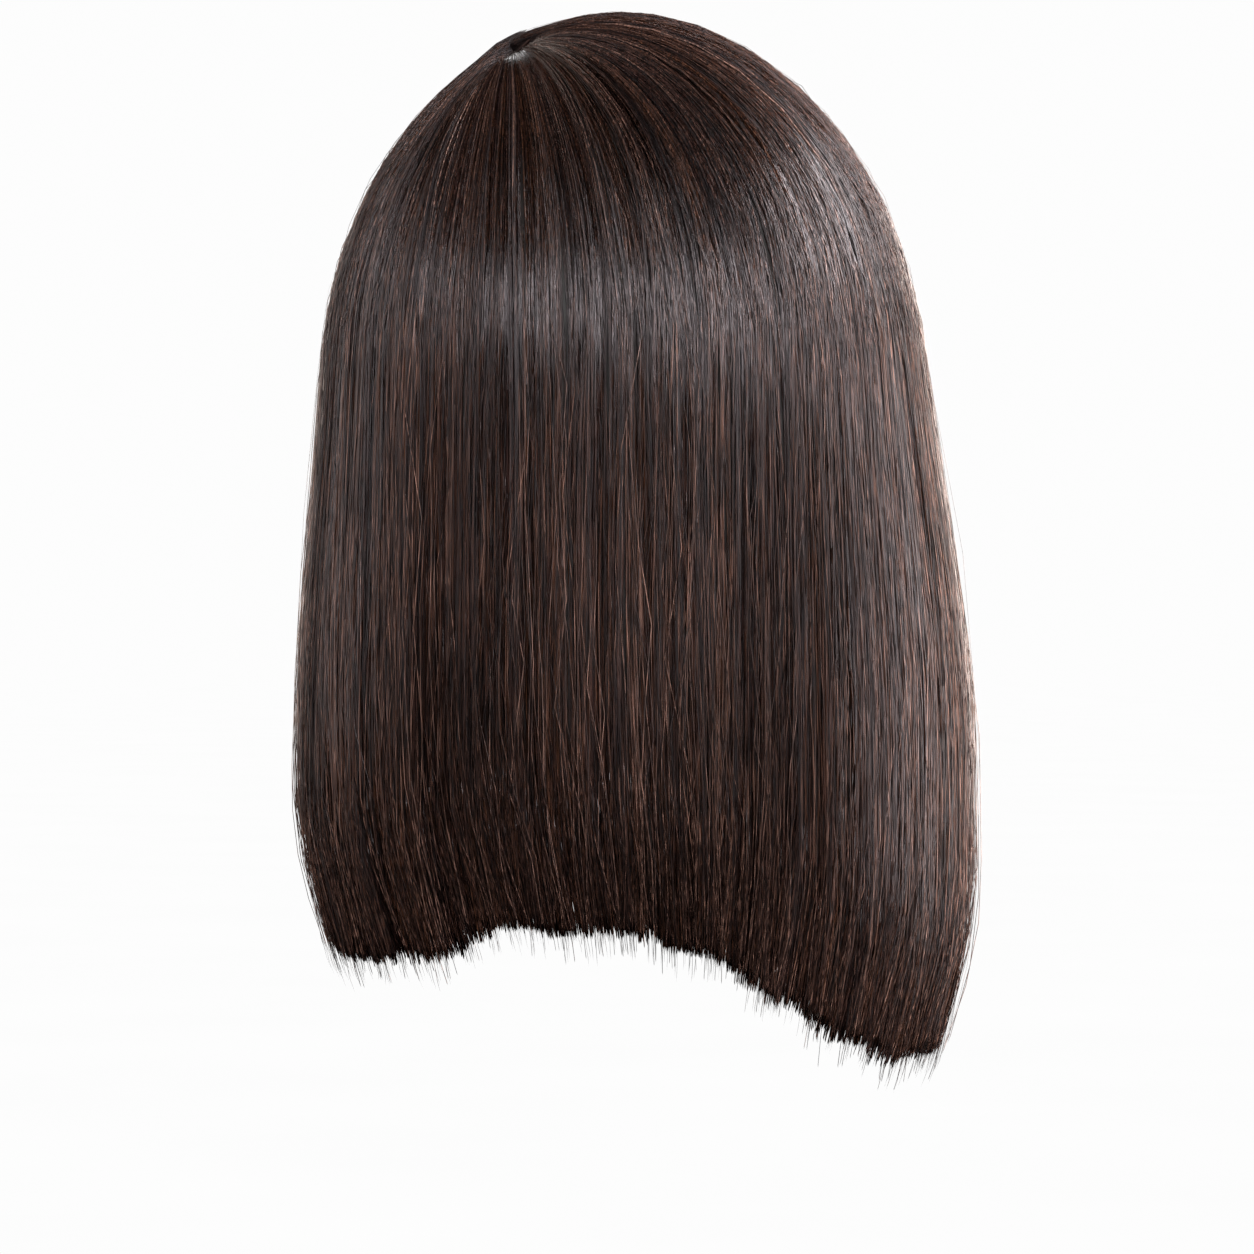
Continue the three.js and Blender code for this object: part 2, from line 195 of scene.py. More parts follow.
def flare_at(azimuth, level):
    """How far the hair swings out to the side at a level."""
    fall = smooth(HAIR_DOME["foot"] + FLARE_START - level, 0, FLARE_HEIGHT)
    return np.where(azimuth < 0, LEFT_FLARE, RIGHT_FLARE) * outward(azimuth)[0] ** 2 * fall


def curtain_plan(azimuth, level, hem):
    """The plan place of the hanging hair at a level, with its flare and the curl at the hem."""
    curl = HEM_CURL * np.clip(1 - (level - hem) / CURL_HEIGHT, 0, 1) ** 2
    x, y = foot_of(HAIR_DOME, azimuth)
    out_x, out_y = outward(azimuth)
    stand = flare_at(azimuth, level) - curl
    return x + out_x * stand, y + out_y * stand


def hem_level(azimuth):
    return -HAIR_LENGTH * from_table(HEM, azimuth)


def inner_surface(azimuth, row, start=PART_WIDTH / 2):
    """The hair's inner side, which lies on the cap and then hangs free."""
    on_dome = dome_point(UNDER_DOME, azimuth, row, start)
    hem = hem_level(azimuth)
    level = mix(UNDER_DOME["foot"], hem + HEM_BEVEL, row - 1)
    x, y = curtain_plan(azimuth, level, hem)
    out_x, out_y = outward(azimuth)
    inside = np.stack([x - out_x * HEM_THICKNESS, y - out_y * HEM_THICKNESS, level], -1)
    foot = dome_point(UNDER_DOME, azimuth, np.ones_like(row), start)
    foot[..., 2] = level
    hanging = mix(inside, foot, (1 - smooth(row, 1, 2))[..., None])
    return np.where((row <= 1)[..., None], on_dome, hanging)


def outer_surface(azimuth, row, tip=0.0, start=PART_WIDTH / 2):
    """The hair's outer side and its outward direction. tip lengthens the hair."""
    out_x, out_y = outward(azimuth)
    on_dome = dome_point(HAIR_DOME, azimuth, row, start)
    normal = normal_of(HAIR_DOME, on_dome)
    root_x, root_y = root_of(azimuth)
    from_part = np.hypot(on_dome[..., 0] - root_x, on_dome[..., 1] - root_y) - PART_WIDTH / 2
    dip = -GROOVE_DEPTH * (1 - smooth(from_part, 0, GROOVE_RISE))
    flare = flare_at(azimuth, on_dome[..., 2])
    on_dome = on_dome + normal * dip[..., None]
    on_dome = on_dome + np.stack([out_x * flare, out_y * flare, np.zeros_like(flare)], -1)
    hem = hem_level(azimuth) - tip
    level = mix(HAIR_DOME["foot"], hem, row - 1)
    x, y = curtain_plan(azimuth, level, hem)
    hanging = np.stack([x, y, level], -1)
    level_normal = np.stack([out_x, out_y, np.zeros_like(out_x)], -1)
    above = (row <= 1)[..., None]
    p = np.where(above, on_dome, hanging)
    inside = inner_surface(azimuth, row, start)
    inside[..., 2] = np.where(row > 1, p[..., 2], inside[..., 2])
    thinning = EDGE_THINNING * smooth(np.abs(azimuth), EDGE_START, FACE_EDGE) * np.minimum(1, row)
    return mix(p, inside, thinning[..., None]), np.where(above, normal, level_normal)


MM_PER_DEGREE = 1.9
DOME_REACH, FALL_REACH = 150, 200


def reach_of(row):
    """About how far along the hair a row lies, in millimetres."""
    return np.where(row <= 1, row * DOME_REACH, DOME_REACH + (row - 1) * FALL_REACH)


def scatter(index):
    """A number from 0 to 1 that looks random, the same as in the part's own source."""
    return abs(math.sin(index * 12.9898) * 43758.5453) % 1


def locks_of(section, first):
    """The locks of a section of the CAD model: where each starts and ends, its height and its tip."""
    count = section["locks"]
    widths = [mix(1 - WIDTH_SCATTER, 1 + WIDTH_SCATTER, scatter(first + k + 0.5)) for k in range(count)]
    ends = np.concatenate([[0], np.cumsum(widths) / sum(widths)])
    sizes = np.array([mix(0.6, 1.25, scatter(3 * (first + k))) for k in range(count)])
    tips = np.array([LOCK_TIP + TIP_SCATTER * (2 * scatter(first + k) - 1) for k in range(count)])
    return ends, sizes, tips


def lock_form(locks, share):
    """The height of the ridges over the hair's even surface, and the length of the tips, across a section."""
    ends, sizes, tips = locks
    k = np.clip(np.searchsorted(ends, share, side="right") - 1, 0, len(sizes) - 1)
    across = (share - ends[k]) / (ends[k + 1] - ends[k])
    places, heights = np.array(LOCK_PROFILE, float).T
    ridge = np.interp(across, places, heights)
    return LOCK_DEPTH * (ridge * sizes[k] - 1), tips[k] * ridge


# Meshes
def mesh_object(name, points, faces, smooth_faces=True):
    """A mesh from points in millimetres and a list of face arrays, each with its own corner count."""
    mesh = bpy.data.meshes.new(name)
    points = np.asarray(points, float).reshape(-1, 3) / 1000
    mesh.vertices.add(len(points))
    mesh.vertices.foreach_set("co", points.astype(np.float32).ravel())
    corners = np.concatenate([f.ravel() for f in faces]).astype(np.int32)
    counts = np.concatenate([np.full(len(f), f.shape[1]) for f in faces])
    starts = np.concatenate([[0], np.cumsum(counts)[:-1]]).astype(np.int32)
    mesh.loops.add(len(corners))
    mesh.loops.foreach_set("vertex_index", corners)
    mesh.polygons.add(len(counts))
    mesh.polygons.foreach_set("loop_start", starts)
    mesh.update(calc_edges=True)
    mesh.polygons.foreach_set("use_smooth", np.full(len(counts), smooth_faces))
    obj = bpy.data.objects.new(name, mesh)
    scene.collection.objects.link(obj)
    return obj, corners


def attribute(obj, name, values):
    kind = "FLOAT" if np.ndim(values) == 1 else "FLOAT_VECTOR"
    data = obj.data.attributes.new(name, kind, "POINT").data
    data.foreach_set("value" if kind == "FLOAT" else "vector", np.asarray(values, np.float32).ravel())


def grid_faces(rows, columns, first=0, turned=False):
    """Quads between rows of points, each row a run of columns points."""
    at = first + np.arange(rows * columns).reshape(rows, columns)
    quads = np.stack([at[:-1, :-1], at[:-1, 1:], at[1:, 1:], at[1:, :-1]], -1).reshape(-1, 4)
    return quads[:, ::-1] if turned else quads


def shell(name, outer, inner):
    """A closed layer between an outer and an inner sheet of the same rows and columns of points."""
    rows, columns = outer.shape[:2]
    count = rows * columns
    points = np.concatenate([outer.reshape(-1, 3), inner.reshape(-1, 3)])
    at = np.arange(count).reshape(rows, columns)
    rim = np.concatenate([at[0, :-1], at[:-1, -1], at[-1, :0:-1], at[:0:-1, 0]])
    after = np.roll(rim, -1)
    border = np.stack([rim, after, after + count, rim + count], -1)
    faces = [grid_faces(rows, columns, 0, True), grid_faces(rows, columns, count), border]
    return mesh_object(name, points, faces)[0]


STRAND_SIDES = 3


def strand_object(name, centres, out, radius, marks):
    """Strands as closed tubes with three sides and blunt ends. centres and out are (strand, step, 3) arrays,
    radius is (strand, step), and marks are the values that a strand's colour is made from."""
    count, steps = radius.shape
    along = unit(np.gradient(centres, axis=1))
    side = unit(np.cross(along, out))
    top = unit(np.cross(side, along))
    rings = []
    for k in range(STRAND_SIDES):
        turn = 2 * math.pi * k / STRAND_SIDES
        way = top * math.cos(turn) + side * math.sin(turn)
        rings.append(centres + way * radius[..., None])
    rings = np.stack(rings, 2)[:, 1:-1]
    inner_steps = steps - 2
    points = np.concatenate(
        [centres[:, :1], rings.reshape(count, inner_steps * STRAND_SIDES, 3), centres[:, -1:]], 1
    )
    per = points.shape[1]
    start = (np.arange(count) * per)[:, None, None]
    ring = 1 + np.arange(inner_steps * STRAND_SIDES).reshape(inner_steps, STRAND_SIDES)
    after = np.roll(ring, -1, axis=1)
    quads = np.stack([ring[:-1], after[:-1], after[1:], ring[1:]], -1).reshape(-1, 4)
    roots = np.stack([after[0], ring[0], np.zeros_like(ring[0])], -1)
    tips = np.stack([ring[-1], after[-1], np.full_like(ring[-1], per - 1)], -1)
    faces = [(start + quads).reshape(-1, 4), (start + roots).reshape(-1, 3), (start + tips).reshape(-1, 3)]
    obj, corners = mesh_object(name, points, faces)
    share = np.concatenate([[0], np.repeat(np.linspace(0, 1, steps)[1:-1], STRAND_SIDES), [1]])
    for key, values in marks.items():
        if key == "along":
            attribute(obj, key, mix(values[:, :1], values[:, 1:], share).ravel())
        else:
            attribute(obj, key, np.repeat(values, per))
    bake_map(obj, corners, count, per, steps, quads, roots, tips)
    return obj


# A strand's cell in the map: the rows of cells, and the margins as shares of a cell
MAP_ROWS = 4
MAP_SIDE, MAP_END = 0.05, 0.01


def bake_map(obj, corners, count, per, steps, quads, roots, tips):
    """A map of its own for each strand: a narrow upright cell, with the three sides beside each other."""
    rows = MAP_ROWS
    columns = math.ceil(count / rows)
    cell = np.stack([np.arange(count) % columns / columns, np.arange(count) // columns / rows], -1)

    def height(vertex):
        ring = ((vertex - 1) // STRAND_SIDES + 1) / (steps - 1)
        return np.where(vertex == 0, 0, np.where(vertex == per - 1, 1, ring))

    lane = np.tile(np.arange(STRAND_SIDES), steps - 3)
    quad_u = np.stack([lane, lane + 1, lane + 1, lane], -1) / STRAND_SIDES
    ends = np.arange(STRAND_SIDES)
    root_u = np.stack([ends + 1, ends, ends + 0.5], -1) / STRAND_SIDES
    tip_u = np.stack([ends, ends + 1, ends + 0.5], -1) / STRAND_SIDES
    parts = []
    for u, face in ((quad_u, quads), (root_u, roots), (tip_u, tips)):
        inset_u = u * (1 - 2 * MAP_SIDE) + MAP_SIDE
        inset_v = height(face) * (1 - 2 * MAP_END) + MAP_END
        local = np.stack([inset_u, inset_v], -1) / (columns, rows)
        parts.append((cell[:, None, None, :] + local[None]).reshape(-1, 2))
    layer = obj.data.uv_layers.new(name="OFBake")
    layer.data.foreach_set("uv", np.concatenate(parts).astype(np.float32).ravel())


# Materials
def new_material(name):
    material = bpy.data.materials.new(name)
    material.use_nodes = True
    nodes = material.node_tree.nodes
    return material, nodes, material.node_tree.links, nodes["Principled BSDF"]


def read_attribute(nodes, name):
    node = nodes.new("ShaderNodeAttribute")
    node.attribute_name = name
    return node


def ramp(nodes, links, source, stops):
    node = nodes.new("ShaderNodeValToRGB")
    elements = node.color_ramp.elements
    while len(elements) < len(stops):
        elements.new(0.5)
    for element, (place, colour) in zip(elements, stops):
        element.position = place
        element.color = (*colour, 1) if len(colour) == 3 else colour
    links.new(source, node.inputs[0])
    return node.outputs[0]


def blend_colours(nodes, links, kind, share, a, b):
    node = nodes.new("ShaderNodeMix")
    node.data_type = "RGBA"
    node.blend_type = kind
    for socket, value in ((node.inputs[0], share), (node.inputs[6], a), (node.inputs[7], b)):
        if isinstance(value, (int, float)):
            socket.default_value = value
        elif isinstance(value, tuple):
            socket.default_value = (*value, 1)
        else:
            links.new(value, socket)
    return node.outputs[2]


def maths(nodes, links, kind, a, b=0.0, c=0.0):
    node = nodes.new("ShaderNodeMath")
    node.operation = kind
    for socket, value in zip(node.inputs, (a, b, c)):
        if isinstance(value, (int, float)):
            socket.default_value = value
        else:
            links.new(value, socket)
    return node.outputs[0]


def noise(nodes, links, vector, scale, detail=2.0, stretch=None):
    if stretch:
        mapping = nodes.new("ShaderNodeMapping")
        mapping.inputs["Scale"].default_value = stretch
        links.new(vector, mapping.inputs["Vector"])
        vector = mapping.outputs[0]
    node = nodes.new("ShaderNodeTexNoise")
    node.inputs["Scale"].default_value = scale
    node.inputs["Detail"].default_value = detail
    links.new(vector, node.inputs["Vector"])
    return node.outputs[0]


def bump(nodes, links, height, strength, distance):
    node = nodes.new("ShaderNodeBump")
    node.inputs["Strength"].default_value = strength
    node.inputs["Distance"].default_value = distance
    links.new(height, node.inputs["Height"])
    return node.outputs[0]


def grey(level):
    return (level,) * 3


# The hair's colours by a strand's tone, and how they darken and brighten from its root to its tip. The dark
# roots are partly the hair's own darker roots and partly painted shade over the crown; the lighter tips are
# partly worn ends and partly painted bounce light at the hem.
HAIR_BODY = [
    (0.0, (0.0028, 0.0013, 0.0012)), (0.4, (0.012, 0.0059, 0.0051)), (0.7, (0.034, 0.0174, 0.0142)),
    (1.0, (0.115, 0.063, 0.049)),
]
HAIR_RED = (0.056, 0.0225, 0.0115)
MOST_RED = 0.7
HAIR_ALONG_TONE_AND_PAINTED_LIGHT = [
    (0.0, grey(0.22)), (0.12, grey(0.5)), (0.35, grey(0.95)), (0.65, grey(0.92)), (0.9, grey(0.88)),
    (1.0, grey(1.5)),
]
HAIR_PATCHES = [(0.3, grey(0.7)), (0.7, grey(1.32))]
PATCH_SCALE = 14
# Flecks along each strand, which take its colour from a fifth to two and a half times and are brightest where
# it is smoothest: partly uneven colour and partly painted glints
HAIR_FLECKS_AND_GLINTS = [(0.34, grey(0.2)), (0.5, grey(0.88)), (0.68, grey(2.5))]
FLECK_STRETCH = (1500, 1500, 45)
PLAIN_ROUGHNESS, FLECK_ROUGHNESS, STRAND_ROUGHNESS = 0.31, -0.38, 0.3
HAIR_SHEEN_TINT = (1.0, 0.9, 0.94, 1)


def hair_material(name):
    """Dark brown hair. Each strand has its own tone, redness and gloss, broken into flecks along it. The
    brightest flecks, where the strand is smoothest, are partly painted glints; the darkened roots are partly
    painted shade and the lightened tips partly painted bounce light.
    """
    material, nodes, links, shader = new_material(name)
    tone = read_attribute(nodes, "tone").outputs["Fac"]
    warm = read_attribute(nodes, "warm").outputs["Fac"]
    along = read_attribute(nodes, "along").outputs["Fac"]
    place = nodes.new("ShaderNodeTexCoord").outputs["Object"]
    gloss = read_attribute(nodes, "gloss").outputs["Fac"]
    body = ramp(nodes, links, tone, HAIR_BODY)
    redness = maths(nodes, links, "MULTIPLY", warm, MOST_RED)
    red = blend_colours(nodes, links, "MIX", redness, body, HAIR_RED)
    # Darker roots and lighter tips: partly the hair's own, partly painted shade at the crown and painted
    # bounce light at the hem
    root = ramp(nodes, links, along, HAIR_ALONG_TONE_AND_PAINTED_LIGHT)
    shaded = blend_colours(nodes, links, "MULTIPLY", 1.0, red, root)
    patch = ramp(nodes, links, noise(nodes, links, place, PATCH_SCALE, 1), HAIR_PATCHES)
    fleck = noise(nodes, links, place, 1.0, 1, FLECK_STRETCH)
    # Flecks of colour along the strand, partly painted glints
    broken = ramp(nodes, links, fleck, HAIR_FLECKS_AND_GLINTS)
    patched = blend_colours(nodes, links, "MULTIPLY", 1.0, shaded, patch)
    links.new(blend_colours(nodes, links, "MULTIPLY", 1.0, patched, broken), shader.inputs["Base Color"])
    smoother = maths(nodes, links, "MULTIPLY_ADD", fleck, FLECK_ROUGHNESS, PLAIN_ROUGHNESS)
    roughness = maths(nodes, links, "MULTIPLY_ADD", gloss, STRAND_ROUGHNESS, smoother)
    links.new(roughness, shader.inputs["Roughness"])
    shader.inputs["Specular Tint"].default_value = HAIR_SHEEN_TINT
    links.new(bump(nodes, links, fleck, 0.35, 0.0003), shader.inputs["Normal"])
    shader.inputs["Specular IOR Level"].default_value = 0.45
    shader.inputs["IOR"].default_value = 1.55
    return material


HAIR = hair_material("hair_strands")


# Near black, darker than the strands: the hair's own dark brown deepened by painted shade under the strands
BASE_DARK_AND_SHADE_COLOURS = [(0.3, (0.003, 0.002, 0.0018)), (0.55, (0.009, 0.0058, 0.005)), (0.75, (0.02, 0.0125, 0.0105))]


def base_material():
    """The layer of hair under the strands, with fine streaks along the flow. It is near black: partly the
    hair's own dark brown and partly painted shade deep in the hair, which darkens the gaps between strands.
    """
    material, nodes, links, shader = new_material("hair_base")
    flow = read_attribute(nodes, "flow").outputs["Vector"]
    fine = noise(nodes, links, flow, 1.0, 2, (1.6, 0.02, 1))
    broad = noise(nodes, links, flow, 1.0, 2, (0.3, 0.01, 1))
    streak = maths(nodes, links, "MULTIPLY_ADD", broad, 0.4, maths(nodes, links, "MULTIPLY", fine, 0.6))
    links.new(ramp(nodes, links, streak, BASE_DARK_AND_SHADE_COLOURS), shader.inputs["Base Color"])
    links.new(maths(nodes, links, "MULTIPLY_ADD", fine, 0.3, 0.4), shader.inputs["Roughness"])
    links.new(bump(nodes, links, streak, 0.8, 0.0006), shader.inputs["Normal"])
    shader.inputs["Specular IOR Level"].default_value = 0.3
    return material


BASE = base_material()


def net_material(name, thread, gap, period, size):
    """Fine woven net: threads crossing over darker gaps. thread and gap are colours, period is the threads'
    spacing in millimetres and size the height of the weave."""
    material, nodes, links, shader = new_material(name)
    flow = read_attribute(nodes, "flow").outputs["Vector"]
    parts = nodes.new("ShaderNodeSeparateXYZ")
    links.new(flow, parts.inputs[0])
    waves = []
    for k in (0, 1):
        turn = maths(nodes, links, "MULTIPLY", parts.outputs[k], 2 * math.pi / period)
        waves.append(maths(nodes, links, "ABSOLUTE", maths(nodes, links, "SINE", turn)))
    weave = maths(nodes, links, "MAXIMUM", waves[0], waves[1])
    dirt = noise(nodes, links, flow, 0.15, 3)
    cloth = ramp(nodes, links, weave, [(0.55, gap), (0.85, thread)])
    patch = ramp(nodes, links, dirt, [(0.3, grey(0.8)), (0.7, grey(1.2))])
    links.new(blend_colours(nodes, links, "MULTIPLY", 1.0, cloth, patch), shader.inputs["Base Color"])
    links.new(maths(nodes, links, "MULTIPLY_ADD", dirt, 0.2, 0.7), shader.inputs["Roughness"])
    links.new(bump(nodes, links, weave, 0.7, size), shader.inputs["Normal"])
    shader.inputs["Sheen Weight"].default_value = 0.2
    return material


# Base layers of the hair
BASE_SINK = 2.2
BASE_END = 1.965
BASE_ROWS = np.concatenate([np.linspace(0, 1, 19)[:-1], np.linspace(1, 2, 14)])
PER_LOCK = 5
BASE_START = 1.0
EDGE_OVERLAP = 0.7
RIDGE_RISE = 0.5
RAGGED_END = [(1.5, 9.1, 0), (1.0, 23.7, 2)]

# The part: the azimuths between which the hair closes over it and opens again, the swell of the hair where
# it is closed, and the dips where it is open
PART_CLOSING, PART_OPENING = (45, 66), (78, 98)
PART_SWELL = {"left": 2.6, "right": 1.6, "middle": 3, "reach": 9}
WHORL_DIP = {"depth": 8.5, "reach": 5.5}
OPEN_DIP = {"depth": 5.5, "reach": 8.0}
PART_CROSSING = 4.5
FACE_TRIM, TRIM_START = 10.0, 108.0


def closed_part(azimuth):
    """Where the hair closes over the part: just ahead of the whorl."""
    turn = np.abs(azimuth)
    return smooth(turn, *PART_CLOSING) * (1 - smooth(turn, *PART_OPENING))


def part_depth(from_part, azimuth):
    """How far the hair lies above its surface near the part. It rises steeply round the whorl, closes over
    the part just ahead of that, and lies open again towards the hairline."""
    closed = closed_part(azimuth)
    ahead = smooth(np.abs(azimuth), *PART_OPENING)
    swell = np.where(azimuth < 0, PART_SWELL["left"], PART_SWELL["right"]) * closed
    swell = swell * np.exp(-(((from_part - PART_SWELL["middle"]) / PART_SWELL["reach"]) ** 2))
    dip = mix(mix(WHORL_DIP["depth"], OPEN_DIP["depth"], ahead), 0.0, closed)
    reach = mix(WHORL_DIP["reach"], OPEN_DIP["reach"], ahead)
    return swell - dip * np.exp(-((from_part / reach) ** 2))


def part_start(azimuth, start):
    """The distance from the part at which the hair starts. Where the part is closed the hair starts on its
    other side."""
    return start - PART_CROSSING * closed_part(azimuth)


def face_trim(azimuth):
    """How much shorter the hair is at the edge by the right cheek, which the back hair hides."""
    return FACE_TRIM * smooth(azimuth, TRIM_START, FACE_EDGE)


def distance_from_part(p, azimuth):
    root_x, root_y = root_of(azimuth)
    return np.hypot(p[..., 0] - root_x, p[..., 1] - root_y)


def base_layer(section, first):
    """The closed layer under the strands of a section. It has the form of the section's own solid but for the
    part near the whorl and the trimmed edge."""
    share = np.linspace(0, 1, section["locks"] * PER_LOCK + 1)
    edge = np.maximum(0, 1 - np.minimum(share, 1 - share) * section["locks"] * PER_LOCK)
    wide = mix(section["from"], section["to"], share) + EDGE_OVERLAP * edge * np.sign(share - 0.5)
    azimuth, row = np.meshgrid(np.clip(wide, -FACE_EDGE, FACE_EDGE), BASE_ROWS * BASE_END / 2)
    height, _ = lock_form(locks_of(section, first), np.broadcast_to(share, row.shape))
    ragged = sum(size * np.sin(share * section["locks"] * rate + phase) for size, rate, phase in RAGGED_END)
    start = part_start(azimuth, BASE_START)
    p, normal = outer_surface(azimuth, row, ragged - face_trim(azimuth), start)
    depth = height * smooth(row, 0, RIDGE_RISE) - BASE_SINK
    depth = depth + part_depth(distance_from_part(p, azimuth), azimuth)
    p = p + normal * (depth - edge)[..., None]
    obj = shell(section["name"] + "_base", p, inner_surface(azimuth, row, start))
    flow = np.stack([azimuth * MM_PER_DEGREE, reach_of(row), 0 * row], -1).reshape(-1, 3)
    attribute(obj, "flow", np.concatenate([flow, flow]))
    obj.data.materials.append(BASE)
    return obj


# Strands
LONG_ROWS = np.array([
    0, 0.02, 0.05, 0.09, 0.145, 0.21, 0.285, 0.37, 0.46, 0.57, 0.69, 0.83, 0.98, 1.2, 1.5, 1.78, 1.985, 2.0,
])
SHORT_STEPS = 9
BLUNT_END = 0.015
LONG_TIP = 3.3

# What a kind of strand has if it doesn't say otherwise. thick is a radius, lift the range of heights over
# the section's surface, hold the share of the clumps' pull, wander and tilt how far a strand strays sideways,
# rise and under how far its end and its start are raised, and tone how much lighter it is.
PLAIN_STRAND = {
    "thick": 0.18, "lift": (-1.4, 0.1), "hold": 1.0, "wander": 0.45, "tilt": 0.7, "rise": 0, "under": 0,
    "tone": 0,
}
WANDER_WAVES = (310, 140, 70)
LIFT_WAVES, LIFT_DRIFT = (210, 90), 0.15
FLOAT_WAVES = (230, 120)
SPLAY, END_SCATTER = 1.3, 0.7
EDGE_SPREAD, EDGE_SLACK = 0.012, 0.6
LEAST_START, MOST_START = 0.2, 2.6
TIP_FOLLOW = 0.45

# Clumps: their width, the share by which they pull strands together and how it varies, the rows where that
# sets in, and how far they drift sideways and lift. The waves are in millimetres of length.
BIG_CLUMP = {
    "size": 7, "pull": 0.28, "vary": 0.15, "vary_waves": (420,), "from": 0.3, "to": 0.9, "most": 0.6,
    "drift": 0.9, "drift_waves": (330, 170), "lift": 0.35, "lift_waves": (400,), "warm": 0.2,
}
SMALL_CLUMP = {
    "size": 2.2, "pull": 0.52, "vary": 0.3, "vary_waves": (260, 150), "from": 0.4, "to": 1.1, "most": 0.85,
    "end_pull": 0.15, "drift": 0.45, "drift_waves": (190, 90), "lift": 0.28, "lift_waves": (240, 130),
    "tilt": 1.0, "splay": 1.3, "tip": 1.1, "tone": 0.14, "gloss": 0.35,
}

# The strands at the back's left that sweep towards the nape near the hem: rows, azimuths and degrees
SWEEP = {"rows": (1.55, 2.05), "begin": (-78, -40), "end": (0, 40), "turn": 3.4}

TAPER = {"root": 6, "loss": 0.4, "between": (0.7, 0.95), "long_tip": 0.45}
# Tone of the strands. A share of them are lighter: partly lighter hairs and partly painted highlights, as
# bright lines on single strands.
TONE = {"middle": 0.34, "spread": 0.22, "light_and_highlight_share": 0.1, "lighter": (0.2, 0.6)}
WARM = {"middle": 0.08, "spread": 0.3}


def waves(reach, size, lengths, which=None):
    """A slow drift along each strand in millimetres: a sum of waves of the given lengths. Strands with the
    same number in which drift together."""
    count = len(reach) if which is None else which.max() + 1
    drift = np.zeros_like(reach)
    for length in lengths:
        phase, height = rng.uniform(0, 2 * math.pi, count), rng.normal(0, size, count)
        if which is not None:
            phase, height = phase[which], height[which]
        drift += height[:, None] * np.sin(2 * math.pi * reach / length + phase[:, None])
    return drift / math.sqrt(len(lengths))


def clumps_of(share, count):
    """The clump that each strand belongs to and the place of its middle across the section. The first strand
    goes to the last clump, so that the highest number is always in use."""
    clump = np.clip((share * count).astype(int), 0, count - 1)
    clump[0] = count - 1
    middle = (np.arange(count) + 0.5 + rng.uniform(-0.3, 0.3, count)) / count
    return clump, middle[clump][:, None]


def by_clump(spread, clump):
    """A random number for each strand that is the same for all strands of a clump."""
    return rng.normal(0, spread, clump.max() + 1)[clump]


def pull_of(kind, reach, rows, clump):
    """How strongly a kind of clump pulls its strands to its middle along them."""
    vary = waves(reach, kind["vary"], kind["vary_waves"], clump)
    return (kind["pull"] + vary) * smooth(rows, kind["from"], kind["to"])


def sink_to_inside(p, azimuth, rows, start, depth):
    """Moves strands from the outer side towards the hair's inner side by the share depth."""
    foot = UNDER_DOME["foot"]
    level = 1 + np.maximum(0, foot - p[..., 2]) / (foot - hem_level(azimuth) - HEM_BEVEL)
    inside = inner_surface(azimuth, np.where(rows <= 1, np.minimum(rows, 1), level), start)
    inside[..., 2] = np.where(rows > 1, p[..., 2], inside[..., 2])
    return mix(p, inside, depth[:, None, None])


